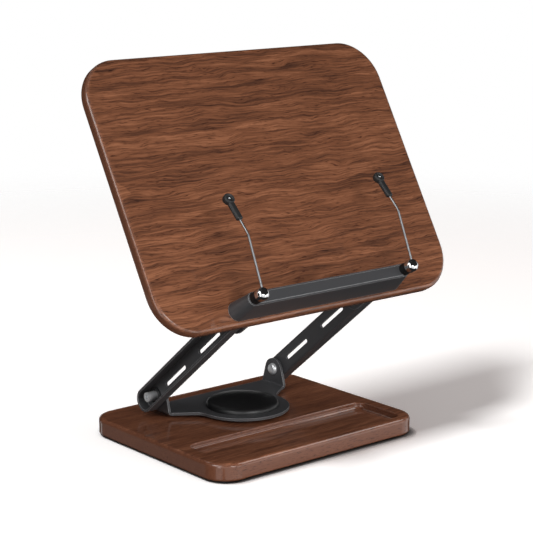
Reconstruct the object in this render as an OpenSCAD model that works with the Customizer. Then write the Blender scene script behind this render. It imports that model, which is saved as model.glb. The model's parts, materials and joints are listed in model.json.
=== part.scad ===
// Swivelling, folding reading stand: a wooden base with a pen tray, a turning steel bracket,
// two channel arms and a tilting wooden board with a ledge and two page clips.
// The origin is on the swivel axis at table level, +X to the right, +Y to the back, +Z up.

/* [Base] */
// Width of the base board
base_w = 240; // [220:1:300]
// Depth of the base board
base_d = 200; // [185:1:260]
// Thickness of the base board
base_t = 16; // [14:0.5:22]
// Plan radius of the base's corners
base_corner_r = 24; // [14:0.5:30]
// Rounding of the base's upper edge
base_top_r = 3.5; // [1:0.25:5]
// Rounding of the base's lower edge
base_low_r = 2; // [0.5:0.25:4]
// Distance from the base's front edge to the swivel axis
axis_from_front = 118; // [112:1:130]
// Height of the rubber feet
foot_h = 2; // [1:0.25:5]
// Diameter of the rubber feet
foot_d = 16; // [10:1:17]
// Distance from the base's edges to the middle of a foot
foot_inset = 16; // [14:0.5:16.5]
// Rounding of a foot's lower edge
foot_edge_r = 0.6; // [0.2:0.1:0.9]
// Diameter of the pad under the swivel axis
pad_d = 44; // [34:1:60]
// Width of the runners left and right of the hollow under the base
runner_w = 25; // [25:0.5:40]
// Depth of the hollow under the base
hollow_cut = 1.2; // [0.5:0.1:2]
// Run of the slopes at the sides of that hollow
hollow_run = 5; // [1:0.5:10]

/* [Pen tray] */
// Width of the pen tray
tray_w = 210; // [160:1:215]
// Depth of the pen tray from front to back
tray_d = 58; // [40:1:62]
// How deep the tray is cut into the base
tray_cut = 6; // [4.5:0.25:8]
// Plan radius of the tray's corners
tray_corner_r = 9; // [6:0.5:14]
// Rounding between the tray's floor and its walls
tray_floor_r = 4; // [1:0.25:4.25]
// Rounding of the tray's rim
tray_rim_r = 1.2; // [0.4:0.1:2]
// Distance from the base's front edge to the tray
tray_margin = 10; // [7:0.5:16]

/* [Swivel] */
// Diameter of the swivel bolt
swivel_bolt_d = 8; // [6:0.5:10]
// Width of the swivel bolt's hexagon across its flats
swivel_hex = 13; // [10:0.5:16]
// Height of the swivel bolt's head
swivel_head_h = 5; // [4:0.25:5.5]
// Gap between the bolt's head and the pad
head_gap = 0.4; // [0.2:0.1:1]
// Diameter of the washer under the bolt's head
bolt_washer_d = 22; // [18:0.5:26]
// Thickness of the washer under the bolt's head
bolt_washer_t = 1.6; // [1:0.1:2]
// Diameter of the plastic ring that the bracket runs on
thrust_d = 60; // [40:1:80]
// Thickness of that ring
thrust_t = 3; // [1.5:0.25:5]
// Radius of the bracket's round front
disc_r = 44.5; // [40:0.5:48]
// Where the bracket's straight front edges meet its round front, in degrees behind the side
neck_deg = 6; // [2:1:12]
// Radius of the hollow between those edges and the round front
neck_r = 12; // [4:1:16]
// Wall of the swivel bush
bush_wall = 3; // [1.5:0.25:4]
// Diameter of the swivel bush's flange
bush_flange_d = 24; // [20:0.5:30]
// Thickness of a bush's flange
bush_flange_t = 1; // [0.8:0.1:2]
// Diameter of the spring washer
spring_washer_d = 18; // [16:0.5:22]
// Thickness of the spring washer
spring_washer_t = 1.2; // [0.8:0.1:2]
// Height of the lock nut
lock_nut_h = 4.5; // [4:0.25:8]
// Thread that stands out of the lock nut
thread_over = 1; // [0.5:0.25:3]

/* [Dome cap] */
// Radius of the dome cap
cap_r = 34.5; // [28:0.5:38]
// Wall of the dome cap
cap_wall = 1.2; // [1:0.1:2]
// Air between the dome cap and the swivel bolt
cap_air = 0.6; // [0.3:0.1:2]
// Radius of the dome's shoulder
cap_shoulder_r = 4.5; // [3:0.25:6]
// Height of the straight skirt below the shoulder
cap_skirt = 1; // [0.5:0.25:2]
// Diameter of the pegs that hold the cap in the plate
peg_d = 3; // [2:0.25:4]
// Number of pegs
peg_count = 3; // [2:1:6]
// Radius of the circle that the pegs stand on
peg_ring_r = 27; // [20:0.5:28]

/* [Brackets and pivots] */
// Thickness of the brackets' sheet
plate_t = 2.5; // [2:0.25:4]
// Inner radius of the brackets' bends
bend_r = 1.5; // [0.5:0.25:3]
// Distance between the ears' inner faces
ear_gap = 138; // [120:1:160]
// Radius of an ear's round end
ear_r = 12; // [11:0.5:14]
// How far the middle of the round end lies short of the pivot
ear_drop = 1.5; // [0:0.25:3]
// Half the width of a lower ear at its foot
ear_half = 16; // [14:0.5:18]
// Distance from the swivel axis back to the lower pivots
pivot_back = 37; // [34:0.5:42]
// Height of the lower pivots above the bracket's plate
pivot_rise = 15; // [14:0.5:20]
// Diameter of the pivot bolts
pivot_d = 6; // [5:0.5:7]
// Diameter of a pivot bolt's domed head
pivot_head_d = 11.5; // [9:0.5:14]
// Height of a pivot bolt's domed head
pivot_head_h = 3.5; // [2.5:0.25:5]
// Radius of the head's domed edge
pivot_dome_r = 3.1; // [1:0.1:3.2]
// Diameter of the washers and flanges at the pivots
washer_d = 16; // [13:0.5:18]
// Thickness of the friction washers at the pivots
washer_t = 1; // [0.5:0.1:2]
// Wall of the bushes in the arms
arm_bush_wall = 1.5; // [1:0.25:2]
// Diameter of the barrel nuts
nut_d = 9; // [8:0.25:11]
// Length of the barrel nuts
nut_length = 9.5; // [8:0.5:14]
// Width of the nuts' hexagon sockets across their flats
nut_socket = 4; // [3:0.25:5]
// Depth of those sockets
nut_socket_cut = 2.5; // [1.5:0.25:3]
// Wall between a nut's socket and its bore
nut_floor = 2; // [1:0.25:3]

/* [Arms] */
// Distance between an arm's two pivots
arm_length = 146.5; // [130:0.5:170]
// Half the width of an arm
arm_r = 11; // [10:0.5:12]
// Distance from a pivot to the middle of the arm's round end
arm_over = 7; // [3:0.5:8]
// Thickness of the arm's sheet
arm_sheet = 2; // [1.5:0.25:3]
// Depth of the arm's channel
arm_depth = 12; // [8:0.5:16]
// Outer radius of the arm's long bends
arm_bend_r = 2.5; // [1:0.25:3]
// Width of the arm's slots
slot_w = 4; // [3:0.25:8]
// Length of one slot
slot_length = 39; // [20:1:45]
// Distance from a pivot to the nearer slot
slot_start = 21; // [18:0.5:28]
// Lean of the arms above level, in degrees
arm_angle = 39.6; // [20:0.1:60]

/* [Reading board] */
// Width of the reading board
board_w = 342; // [280:1:400]
// Height of the reading board
board_h = 255; // [200:1:300]
// Thickness of the reading board
board_t = 11; // [9:0.5:16]
// Radius of the board's corners
board_corner_r = 40; // [20:1:60]
// Rounding of the board's front edge
board_front_r = 4; // [1:0.25:5]
// Rounding of the board's back edge
board_back_r = 3; // [1:0.25:4]
// Lean of the board above level, in degrees
board_angle = 60; // [30:0.5:75]
// Height of the upper pivots above the board's lower edge
upper_pivot_up = 13; // [10:0.5:20]
// Distance from the board's back to the upper pivots
upper_pivot_off = 22.5; // [21:0.5:30]
// Distance from the board's lower edge to its bracket
bracket_low = 3; // [2:0.5:5]
// Height of the bracket's bar between its ears
bracket_bar_h = 30; // [26:0.5:36]
// Width of the bracket's tongue
tongue_w = 90; // [60:1:120]
// Height of the tongue above the bar
tongue_h = 42; // [30:1:60]
// Radius of the tongue's corners
tongue_r = 10; // [4:0.5:14]

/* [Screws] */
// Diameter of the wood screws
screw_d = 4; // [3:0.25:5]
// Diameter of the wood screws' heads
screw_head_d = 7.5; // [6:0.25:9]
// Height of the wood screws' heads
screw_head_h = 2.4; // [1.8:0.1:3]
// Length of the bracket's screws in the board
bracket_screw_length = 8; // [5:0.5:8.5]
// Distance from the middle to the lower bracket screws
low_screw_x = 50; // [40:1:54]
// Distance from the middle to the upper bracket screws
high_screw_x = 30; // [15:1:34]
// Distance from the tongue's upper edge to its screws
high_screw_in = 12; // [8:0.5:16]
// Distance between neighbouring ledge screws
ledge_screw_gap = 64; // [50:1:68]
// Length of the ledge screws in the ledge
ledge_screw_length = 14; // [8:0.5:18]

/* [Ledge] */
// Width of the ledge at the board
ledge_w = 200; // [170:1:240]
// Width of the ledge at its front
ledge_front_w = 188; // [160:1:220]
// Height of the ledge at its front
ledge_front_h = 12.3; // [11.5:0.1:16]
// Depth of the ledge from the board to its front
ledge_depth = 25; // [22:0.5:35]
// Distance from the board's lower edge to the ledge's root
ledge_low = 4.5; // [2:0.5:8]
// Distance from the board's lower edge to the ledge's top
ledge_top = 22.3; // [20:0.1:28]
// Rounding of the ledge's front edge
ledge_edge_r = 1.4; // [0.5:0.1:2]

/* [Page clips] */
// Diameter of the rod that slides in the ledge
stem_d = 7; // [5:0.25:8]
// Diameter of the ribbed head of the stem
stem_head_d = 11; // [9:0.25:12]
// Length of the ribbed head
stem_head_length = 7; // [5:0.5:12]
// Number of grooves round the ribbed head
stem_grooves = 3; // [1:1:5]
// Width of one groove
groove_w = 0.9; // [0.4:0.1:1]
// Depth of one groove
groove_cut = 0.7; // [0.3:0.1:1.2]
// Travel of the stem out of the ledge
pull_travel = 12; // [6:0.5:12]
// Diameter of the stem's rear flange
stem_flange_d = 9.8; // [9:0.1:10]
// Thickness of the stem's rear flange
stem_flange_t = 2; // [1:0.25:3]
// Section of the friction ring round the rod
ring_section = 1; // [0.8:0.1:1.2]
// Diameter of the knob
knob_d = 12; // [10:0.25:14]
// Height of the knob
knob_h = 9; // [8.5:0.25:12]
// Radius of the knob's domed edge
knob_dome_r = 4.5; // [2:0.25:5]
// Radius of the knob's lower edge
knob_foot_r = 1; // [0.4:0.1:2]
// Diameter of the spigot that the knob turns on
spigot_d = 5; // [4:0.25:6]
// Length of the spigot
spigot_length = 3.8; // [3:0.1:4]
// Thickness of the snap ring on the spigot
snap_ring_t = 0.6; // [0.4:0.1:0.8]
// How far the snap ring reaches into the spigot and into the knob
snap_ring_step = 0.5; // [0.3:0.1:0.8]
// Diameter of the clip's wire
wire_d = 2; // [1.5:0.1:2.5]
// Height of the wire above the knob's foot
wire_seat = 5.6; // [5.4:0.1:6]
// Length of the wire's first run, along the board
wire_run = 52; // [40:1:70]
// How far the first run leans away from the board
wire_lean = 6.4; // [2:0.2:12]
// Radius of the wire's bend
wire_bend_r = 12; // [6:0.5:20]
// Length of the wire's second run, to the middle of the tip, along the board
wire_tip_run = 35; // [28:1:45]
// How far the second run leans back towards the board
wire_tip_lean = 10; // [4:0.5:16]
// Diameter of the tip's round head
tip_d = 10.5; // [8:0.5:14]
// Thickness of the tip's round head
tip_t = 6; // [4.5:0.5:8]
// Width of the tip's bar
tip_bar_w = 7; // [5:0.25:9]
// Thickness of the tip's bar
tip_bar_t = 4.6; // [3.8:0.2:6]
// Length of the tip's bar from the middle of the head
tip_bar_length = 22; // [14:0.5:26]

/* [Hidden] */
$fn = 64;
// Radial clearance of a fit, and of a piece in its hole
fit = 0.05;
// How far a cut runs past a face
over = 1;
// Air past the end of a bolt, screw or peg, and over a sunk screw's head
air = 0.4;
// Play of the clip's pieces along its axis
clip_play = 0.15;
// Thickness of the slices that the ledge is drawn between
slice = 0.2;
// How far the straight runs of a wire reach past its slightly thinner bend
bend_lap = 0.4;
hex_ratio = 2 / sqrt(3);

wood = "#5e3726";
black_steel = "#2d2d2f";
charcoal = "#434345";
black_plastic = "#1b1b1c";
rubber = "#141414";
bright_steel = "#b9bbbd";
chrome = "#d5d7d9";
nylon = "#1f1f20";

// Heights up the swivel axis
base_top_z = foot_h + base_t;
under_z = foot_h + hollow_cut;
bolt_head_z = under_z + head_gap;
bolt_washer_z = bolt_head_z + swivel_head_h;
bolt_seat_z = bolt_washer_z + bolt_washer_t;
plate_low_z = base_top_z + thrust_t;
plate_top_z = plate_low_z + plate_t;
bush_top_z = plate_top_z + bush_flange_t;
nut_low_z = bush_top_z + spring_washer_t;
nut_top_z = nut_low_z + lock_nut_h;
bolt_end_z = nut_top_z + thread_over;
cap_h = bolt_end_z + cap_air + cap_wall - plate_top_z;

// Middle of the base and of its tray
base_mid_y = base_d / 2 - axis_from_front;
tray_mid_y = tray_margin + tray_d / 2 - axis_from_front;
tray_floor_z = base_top_z - tray_cut;

// Faces along X, from an ear to the end of a barrel nut
ear_in = ear_gap / 2;
ear_out = ear_in + plate_t;
web_in = ear_out + washer_t;
web_out = web_in + arm_sheet;
nut_in = web_out + bush_flange_t;
nut_out = nut_in + nut_length;
nut_bore_end = nut_out - nut_socket_cut - nut_floor;
pivot_end = nut_bore_end - air;
plate_half = ear_in - bend_r;

// Pivots and the board's lower front edge
lower_y = pivot_back;
lower_z = plate_top_z + pivot_rise;
upper_y = lower_y - arm_length * cos(arm_angle);
upper_z = lower_z + arm_length * sin(arm_angle);
pivot_depth = upper_pivot_off + board_t;
board_y = upper_y - upper_pivot_up * cos(board_angle) - pivot_depth * sin(board_angle);
board_z = upper_z - upper_pivot_up * sin(board_angle) + pivot_depth * cos(board_angle);

// Ledge and clip places on the board
ledge_root_h = ledge_top - ledge_low;
ledge_front_mid = ledge_top - ledge_front_h / 2;
ledge_screw_up = ledge_low + ledge_root_h / 2;
clip_x = (ledge_front_w - ledge_front_h) / 2;
clip_up = ledge_front_mid;
chamber_length = clip_play + stem_flange_t + pull_travel + clip_play;
ring_n = (chamber_length + ledge_depth) / 2;
stem_head_n = ledge_depth + clip_play;
knob_n = stem_head_n + stem_head_length + clip_play;
snap_ring_n = knob_n + spigot_length / 2;
groove_pitch = stem_head_length / (stem_grooves + 1);

bracket_screws_at = [
    for (x = [-low_screw_x, low_screw_x]) [x, bracket_low + bracket_bar_h / 2],
    for (x = [-high_screw_x, high_screw_x]) [x, bracket_low + bracket_bar_h + tongue_h - high_screw_in]
];
ledge_screws_at = [for (i = [-1 : 1]) [i * ledge_screw_gap, ledge_screw_up]];

// Unit vector from a to b
function towards(a, b) = (b - a) / norm(b - a);

// Tangent point on a circle of radius r at c, for a line from p: turn is 1 or -1
function tangent(c, r, p, turn) =
    let (a = atan2(p[1] - c[1], p[0] - c[0]) + turn * acos(r / norm(p - c)))
    c + r * [cos(a), sin(a)];

// Radius of a dome's crown that runs smoothly into its shoulder
function crown_r(r, h, shoulder, skirt) =
    let (rise = h - skirt)
    (pow(r - shoulder, 2) + pow(rise, 2) - pow(shoulder, 2)) / (2 * (rise - shoulder));

// Frames

// The board's own frame: x across, y up its front face, z out of that face
module on_board() {
    translate([0, board_y, board_z])
        rotate([board_angle, 0, 0])
            children();
}

// The axis of one page clip: side is -1 on the left and 1 on the right
module at_clip(side) {
    on_board()
        translate([side * clip_x, clip_up, 0])
            children();
}

module at_lower_pivot() {
    translate([0, lower_y, lower_z])
        children();
}

// The upper pivot, with y down the board and z away from its back
module at_upper_pivot() {
    translate([0, upper_y, upper_z])
        rotate([board_angle + 180, 0, 0])
            children();
}

module on_side(side) {
    mirror([side < 0 ? 1 : 0, 0, 0])
        children();
}

module both_sides() {
    for (side = [-1, 1])
        on_side(side)
            children();
}

// Shapes that repeat

// Half section of a slab's edge: r deep, t high, with rounded upper and lower corners
module edge_profile(r, t, top_r, low_r) {
    difference() {
        square([r, t]);
        translate([r - top_r, t - top_r])
            corner_cut(top_r);
        translate([r - low_r, low_r])
            mirror([0, 1])
                corner_cut(low_r);
    }
}

module corner_cut(r) {
    difference() {
        square(r + over);
        circle(r);
    }
}

// Slab with rounded corners whose edge has the section given as its child
module rounded_block(w, d, r, t) {
    for (turn = [0 : 3]) {
        half_w = (turn % 2 == 0 ? w : d) / 2 - r;
        half_d = (turn % 2 == 0 ? d : w) / 2 - r;
        rotate(turn * 90) {
            translate([half_w, half_d, 0])
                rotate_extrude(angle = 90)
                    children();
            translate([half_w, half_d, 0])
                rotate([90, 0, 0])
                    linear_extrude(2 * half_d)
                        children();
        }
    }
    translate([r - w / 2, r - d / 2, 0])
        cube([w - 2 * r, d - 2 * r, t]);
}

// Slab with half-round ends from 0 to length along X, with the edge section given as its child
module stadium_block(length) {
    rotate(90)
        rotate_extrude(angle = 180)
            children();
    translate([length, 0, 0])
        rotate(-90)
            rotate_extrude(angle = 180)
                children();
    for (flip = [0, 1])
        mirror([0, flip, 0])
            rotate([90, 0, 90])
                linear_extrude(length)
                    children();
}

// Flat outline with half-round ends, w wide and h high
module stadium(w, h) {
    square([w - h, h], center = true);
    for (side = [-1, 1])
        translate([side * (w - h) / 2, 0])
            circle(d = h);
}

// Rectangle with rounded corners, centred on X and standing on Y = 0
module rounded_rectangle(w, h, r) {
    translate([-w / 2, r])
        square([w, h - 2 * r]);
    translate([r - w / 2, 0])
        square([w - 2 * r, h]);
    for (x = [r - w / 2, w / 2 - r], y = [r, h - r])
        translate([x, y])
            circle(r);
}

// Round bar along X from x0 to x1
module x_bar(d, x0, x1) {
    translate([x0, 0, 0])
        rotate([0, 90, 0])
            cylinder(h = x1 - x0, d = d);
}

// Ring along X from x0 to x1
module x_ring(d, bore, x0, x1) {
    difference() {
        x_bar(d, x0, x1);
        x_bar(bore, x0 - over, x1 + over);
    }
}

module ring(d, bore, t) {
    difference() {
        cylinder(h = t, d = d);
        translate([0, 0, -over])
            cylinder(h = t + 2 * over, d = bore);
    }
}

module hexagon(flats, h) {
    cylinder(h = h, d = flats * hex_ratio, $fn = 6);
}

// Round bar from p to q in the plane of Y and Z
module yz_bar(d, p, q) {
    translate([0, p[0], p[1]])
        rotate([atan2(q[1] - p[1], q[0] - p[0]) - 90, 0, 0])
            cylinder(h = norm(q - p), d = d);
}

// Brackets and pivots

// Ear outline about its pivot, on a foot that lies rise below and spans low to high
module ear_outline(rise, low, high) {
    middle = [0, -ear_drop];
    foot_low = [-low, -rise];
    foot_high = [high, -rise];
    translate(middle)
        circle(ear_r);
    polygon([
        foot_low,
        foot_high,
        tangent(middle, ear_r, foot_high, 1),
        tangent(middle, ear_r, foot_low, -1)
    ]);
}

// Right ear with its bend, drilled for the pivot bolt
module bent_ear(rise, low, high) {
    difference() {
        translate([ear_in, 0, 0])
            rotate([90, 0, 90])
                linear_extrude(plate_t)
                    ear_outline(rise - bend_r, low, high);
        x_bar(pivot_d + 2 * fit, ear_in - over, ear_out + over);
    }
    translate([plate_half, high, bend_r - rise])
        rotate([90, 0, 0])
            linear_extrude(low + high)
                intersection() {
                    difference() {
                        circle(bend_r + plate_t);
                        circle(bend_r);
                    }
                    translate([0, -bend_r - plate_t])
                        square(bend_r + plate_t);
                }
}

module pivot_bolt() {
    translate([ear_in, 0, 0])
        rotate([0, -90, 0])
            rotate_extrude()
                edge_profile(pivot_head_d / 2, pivot_head_h, pivot_dome_r, fit);
    x_bar(pivot_d, ear_in, pivot_end);
}

module pivot_nut() {
    difference() {
        x_bar(nut_d, nut_in, nut_out);
        x_bar(pivot_d + 2 * fit, nut_in - over, nut_bore_end);
        translate([nut_out - nut_socket_cut, 0, 0])
            rotate([0, 90, 0])
                hexagon(nut_socket, nut_socket_cut + over);
    }
}

module pivot_washer() {
    x_ring(washer_d, pivot_d + 2 * fit, ear_out, web_in);
}

module arm_bush() {
    difference() {
        union() {
            x_bar(pivot_d + 2 * arm_bush_wall, web_in, web_out);
            x_bar(washer_d, web_out, nut_in);
        }
        x_bar(pivot_d + 2 * fit, web_in - over, nut_in + over);
    }
}

// Base

module base_board() {
    color(wood)
        difference() {
            translate([0, base_mid_y, foot_h])
                rounded_block(base_w, base_d, base_corner_r, base_t)
                    edge_profile(base_corner_r, base_t, base_top_r, base_low_r);
            translate([0, tray_mid_y, tray_floor_z])
                rounded_block(tray_w, tray_d, tray_corner_r, tray_cut + over)
                    tray_section(tray_cut + over);
            translate([0, tray_mid_y, base_top_z - tray_rim_r])
                rounded_block(tray_w, tray_d, tray_corner_r, tray_rim_r + over)
                    rim_section();
            base_hollow();
            cylinder(h = base_top_z + over, d = swivel_bolt_d + 2 * fit);
            cylinder(h = bolt_seat_z, d = bolt_washer_d + 2 * fit);
        }
}

// Shallow hollow from front to back, which leaves a runner under each side of the base
module base_hollow() {
    low = base_w / 2 - runner_w;
    high = low - hollow_run;
    translate([0, base_mid_y + base_d / 2 + over, 0])
        rotate([90, 0, 0])
            linear_extrude(base_d + 2 * over)
                polygon([
                    [-low, 0], [low, 0], [low, foot_h], [high, under_z], [-high, under_z], [-low, foot_h]
                ]);
}

// Half section of the tray, with its rounded floor
module tray_section(h) {
    difference() {
        square([tray_corner_r, h]);
        translate([tray_corner_r - tray_floor_r, tray_floor_r])
            mirror([0, 1])
                corner_cut(tray_floor_r);
    }
}

// Half section of the tray's rim, which opens out over a rounded edge
module rim_section() {
    difference() {
        square([tray_corner_r + tray_rim_r, tray_rim_r + over]);
        translate([tray_corner_r + tray_rim_r, 0])
            circle(tray_rim_r);
    }
}

module base_feet() {
    color(rubber)
        for (x = [foot_inset - base_w / 2, base_w / 2 - foot_inset])
            for (y = [foot_inset - base_d / 2, base_d / 2 - foot_inset])
                translate([x, base_mid_y + y, 0])
                    rotate_extrude()
                        difference() {
                            square([foot_d / 2, foot_h]);
                            translate([foot_d / 2 - foot_edge_r, foot_edge_r])
                                mirror([0, 1])
                                    corner_cut(foot_edge_r);
                        }
}

module centre_pad() {
    color(rubber)
        cylinder(h = under_z, d = pad_d);
}

module swivel_bolt() {
    color(bright_steel) {
        translate([0, 0, bolt_head_z])
            hexagon(swivel_hex, swivel_head_h);
        translate([0, 0, bolt_washer_z])
            cylinder(h = bolt_end_z - bolt_washer_z, d = swivel_bolt_d);
    }
}

module swivel_bolt_washer() {
    color(bright_steel)
        translate([0, 0, bolt_washer_z])
            ring(bolt_washer_d, swivel_bolt_d + 2 * fit, bolt_washer_t);
}

module thrust_washer() {
    color(nylon)
        translate([0, 0, base_top_z])
            ring(thrust_d, swivel_bolt_d + 2 * fit, thrust_t);
}

module swivel_spring_washer() {
    color(bright_steel)
        translate([0, 0, bush_top_z])
            ring(spring_washer_d, swivel_bolt_d + 2 * fit, spring_washer_t);
}

module swivel_lock_nut() {
    color(bright_steel)
        translate([0, 0, nut_low_z])
            difference() {
                hexagon(swivel_hex, lock_nut_h);
                translate([0, 0, -over])
                    cylinder(h = lock_nut_h + 2 * over, d = swivel_bolt_d + 2 * fit);
            }
}

// Turning bracket

// Outline of the turning plate: a round front, and a bar behind it that carries the ears
module swivel_outline() {
    front = lower_y - ear_half;
    rear = lower_y + ear_half;
    neck = disc_r * [cos(neck_deg), sin(neck_deg)];
    corner = [plate_half, front];
    circle(disc_r);
    polygon([
        [-plate_half, rear],
        [plate_half, rear],
        corner,
        neck,
        [0, 0],
        [-neck[0], neck[1]],
        [-plate_half, front]
    ]);
    for (side = [0, 1])
        mirror([side, 0])
            neck_hollow(corner, neck);
}

// Web that rounds the inner corner between the straight edge and the round front
module neck_hollow(corner, neck) {
    along = towards(corner, neck);
    shifted = corner + neck_r * [-along[1], along[0]];
    reach = shifted * along;
    run = -reach - sqrt(reach * reach - shifted * shifted + pow(disc_r + neck_r, 2));
    middle = shifted + run * along;
    difference() {
        polygon([corner + run * along, neck, middle * disc_r / (disc_r + neck_r)]);
        translate(middle)
            circle(neck_r);
    }
}

module swivel_bracket() {
    color(black_steel) {
        difference() {
            translate([0, 0, plate_low_z])
                linear_extrude(plate_t)
                    swivel_outline();
            translate([0, 0, plate_low_z - over])
                cylinder(h = plate_t + 2 * over, d = swivel_bolt_d + 2 * bush_wall + 2 * fit);
            for_pegs()
                translate([0, 0, plate_low_z - over])
                    cylinder(h = plate_t + 2 * over, d = peg_d + 2 * fit);
        }
        at_lower_pivot()
            both_sides()
                bent_ear(pivot_rise, ear_half, ear_half);
    }
}

module swivel_bush() {
    color(nylon)
        difference() {
            union() {
                translate([0, 0, plate_low_z])
                    cylinder(h = plate_t, d = swivel_bolt_d + 2 * bush_wall);
                translate([0, 0, plate_top_z])
                    cylinder(h = bush_flange_t, d = bush_flange_d);
            }
            translate([0, 0, plate_low_z - over])
                cylinder(h = plate_t + bush_flange_t + 2 * over, d = swivel_bolt_d + 2 * fit);
        }
}

module for_pegs() {
    for (i = [0 : peg_count - 1])
        rotate(i * 360 / peg_count)
            translate([0, peg_ring_r, 0])
                children();
}

// Half section of a dome: a crown that runs into a rounded shoulder above a straight skirt
module dome_section(r, h, shoulder, skirt) {
    crown = crown_r(r, h, shoulder, skirt);
    crown_y = h - crown;
    shoulder_at = [r - shoulder, skirt];
    touch = [0, crown_y] + crown * towards([0, crown_y], shoulder_at);
    intersection() {
        square([r, h]);
        union() {
            square([r, skirt]);
            translate(shoulder_at)
                circle(shoulder);
            intersection() {
                translate([0, crown_y])
                    circle(crown, $fn = 360);
                polygon([[0, 0], [shoulder_at[0], 0], shoulder_at, touch, [touch[0], h], [0, h]]);
            }
        }
    }
}

module dome_cap() {
    color(black_plastic)
        translate([0, 0, plate_top_z]) {
            difference() {
                rotate_extrude()
                    dome_section(cap_r, cap_h, cap_shoulder_r, cap_skirt);
                rotate_extrude()
                    dome_section(cap_r - cap_wall, cap_h - cap_wall, cap_shoulder_r - cap_wall, cap_skirt);
            }
            for_pegs()
                translate([0, 0, air - plate_t])
                    cylinder(h = plate_t - air, d = peg_d);
            intersection() {
                rotate_extrude()
                    dome_section(cap_r, cap_h, cap_shoulder_r, cap_skirt);
                for_pegs()
                    cylinder(h = cap_h, d = peg_d);
            }
        }
}

module left_lower_bolt() {
    color(bright_steel)
        at_lower_pivot()
            on_side(-1)
                pivot_bolt();
}

module right_lower_bolt() {
    color(bright_steel)
        at_lower_pivot()
            on_side(1)
                pivot_bolt();
}

module lower_pivot_nuts() {
    color(bright_steel)
        at_lower_pivot()
            both_sides()
                pivot_nut();
}

module lower_pivot_washers() {
    color(nylon)
        at_lower_pivot()
            both_sides()
                pivot_washer();
}

// Arms

// One arm: a channel with a wall all round, open on its outer side
module arm() {
    at_lower_pivot()
        rotate([270 - arm_angle, 0, 0])
            rotate([0, 90, 0])
                difference() {
                    translate([-arm_over, 0, web_in])
                        arm_pan();
                    for (x = [0, arm_length])
                        translate([x, 0, web_in - over])
                            cylinder(h = arm_sheet + 2 * over, d = pivot_d + 2 * arm_bush_wall + 2 * fit);
                    for (x = [slot_start + slot_length / 2, arm_length - slot_start - slot_length / 2])
                        translate([x, 0, web_in - over])
                            linear_extrude(arm_sheet + 2 * over)
                                stadium(slot_length, slot_w);
                }
}

module arm_pan() {
    difference() {
        stadium_block(arm_length + 2 * arm_over)
            arm_wall_section(arm_r, arm_depth, arm_bend_r);
        translate([0, 0, arm_sheet])
            stadium_block(arm_length + 2 * arm_over)
                arm_wall_section(arm_r - arm_sheet, arm_depth, max(arm_bend_r - arm_sheet, fit));
    }
}

module arm_wall_section(r, h, bend) {
    difference() {
        square([r, h]);
        translate([r - bend, bend])
            mirror([0, 1])
                corner_cut(bend);
    }
}

module left_arm() {
    color(black_steel)
        on_side(-1)
            arm();
}

module right_arm() {
    color(black_steel)
        on_side(1)
            arm();
}

module lower_arm_bushes() {
    color(nylon)
        at_lower_pivot()
            both_sides()
                arm_bush();
}

module upper_arm_bushes() {
    color(nylon)
        at_upper_pivot()
            both_sides()
                arm_bush();
}

// Reading board

module reading_board() {
    color(wood)
        on_board()
            difference() {
                translate([0, board_h / 2, -board_t])
                    rounded_block(board_w, board_h, board_corner_r, board_t)
                        edge_profile(board_corner_r, board_t, board_front_r, board_back_r);
                for (at = bracket_screws_at)
                    translate([at[0], at[1], -board_t - over])
                        cylinder(h = bracket_screw_length + over + fit, d = screw_d + 2 * fit);
                for (at = ledge_screws_at)
                    translate([at[0], at[1], 0]) {
                        translate([0, 0, -board_t - over])
                            cylinder(h = board_t + 2 * over, d = screw_d + 2 * fit);
                        translate([0, 0, -board_t - over])
                            cylinder(h = screw_head_h + air + over, d = screw_head_d + 2 * fit);
                    }
            }
}

module board_bracket() {
    color(black_steel) {
        on_board()
            difference() {
                translate([0, bracket_low, -board_t - plate_t])
                    linear_extrude(plate_t) {
                        translate([-plate_half, 0])
                            square([2 * plate_half, bracket_bar_h]);
                        rounded_rectangle(tongue_w, bracket_bar_h + tongue_h, tongue_r);
                    }
                for (at = bracket_screws_at)
                    translate([at[0], at[1], -board_t - plate_t - over])
                        cylinder(h = plate_t + 2 * over, d = screw_d + 2 * fit);
            }
        at_upper_pivot()
            both_sides()
                bent_ear(
                    upper_pivot_off - plate_t,
                    bracket_low + bracket_bar_h - upper_pivot_up,
                    upper_pivot_up - bracket_low
                );
    }
}

module bracket_screws() {
    color(bright_steel)
        on_board()
            for (at = bracket_screws_at)
                translate([at[0], at[1], -board_t - plate_t])
                    rotate([180, 0, 0])
                        wood_screw(plate_t + bracket_screw_length);
}

// Screw with its head above z = 0 and its shank below
module wood_screw(length) {
    rotate_extrude()
        edge_profile(screw_head_d / 2, screw_head_h, screw_head_h / 2, fit);
    translate([0, 0, -length])
        cylinder(h = length, d = screw_d);
}

module left_upper_bolt() {
    color(bright_steel)
        at_upper_pivot()
            on_side(-1)
                pivot_bolt();
}

module right_upper_bolt() {
    color(bright_steel)
        at_upper_pivot()
            on_side(1)
                pivot_bolt();
}

module upper_pivot_nuts() {
    color(bright_steel)
        at_upper_pivot()
            both_sides()
                pivot_nut();
}

module upper_pivot_washers() {
    color(nylon)
        at_upper_pivot()
            both_sides()
                pivot_washer();
}

// Ledge

module ledge_slice(w, low, high, n) {
    translate([0, (low + high) / 2, n])
        linear_extrude(slice)
            stadium(w, high - low, $fn = 32);
}

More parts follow.
